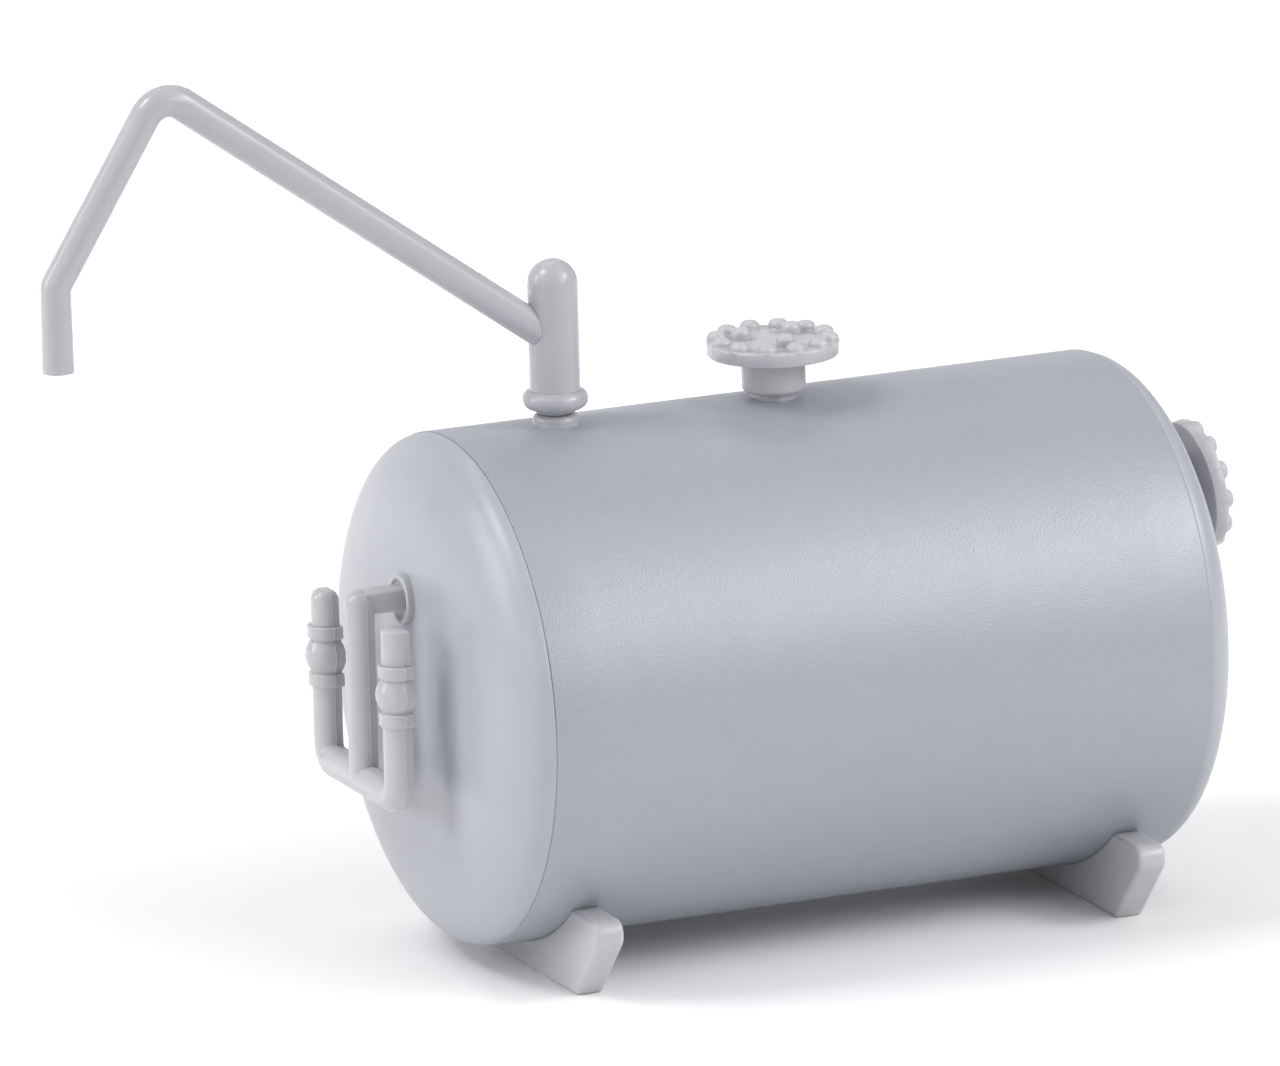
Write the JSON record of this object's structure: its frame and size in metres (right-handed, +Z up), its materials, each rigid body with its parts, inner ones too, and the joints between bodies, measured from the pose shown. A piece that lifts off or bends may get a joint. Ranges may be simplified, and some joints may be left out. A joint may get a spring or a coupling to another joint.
{
  "type": "model storage tank",
  "caption": "Scale-model horizontal storage tank on saddles, with a swivelling filling arm, bolted covers and an outlet fork.",
  "frame": {"origin": "centre of the front saddle's flat underside", "axes": "+X along the barrel from the outlet fork's end to the rear port's end, +Z up"},
  "size_m": [0.1967, 0.08, 0.1436],
  "materials": {
    "barrel_plastic": "satin, bare moulded plastic",
    "cap_plastic": "satin, bare moulded plastic",
    "saddle_plastic": "satin, bare moulded plastic",
    "arm_plastic": "satin, bare moulded plastic",
    "port_plastic": "satin, bare moulded plastic",
    "manifold_plastic": "satin, bare moulded plastic"
  },
  "bodies": {
    "tank": {"barrel": "barrel_plastic", "front_end_cap": "cap_plastic", "rear_end_cap": "cap_plastic", "front_saddle": "saddle_plastic", "rear_saddle": "saddle_plastic", "arm_bush": "arm_plastic", "manhole_stub": "port_plastic", "manhole_flange": "port_plastic", "manhole_cover": "port_plastic", "rear_port_stub": "port_plastic", "rear_port_flange": "port_plastic", "rear_port_cover": "port_plastic", "outlet_stub": "manifold_plastic", "outlet_rosette": "manifold_plastic", "outlet_manifold": "manifold_plastic", "left_valve": "manifold_plastic", "right_valve": "manifold_plastic"},
    "arm": {"arm_pivot_pin": "arm_plastic", "arm_retaining_washer": "arm_plastic", "arm_collar": "arm_plastic", "arm_post": "arm_plastic", "arm_boom": "arm_plastic"}
  },
  "joints": [
    {"name": "arm_swivel", "type": "hinge", "parent": "tank", "child": "arm", "pos_m": [0.0084, 0, 0.0835], "axis": [0, 0, 1], "continuous": true}
  ]
}
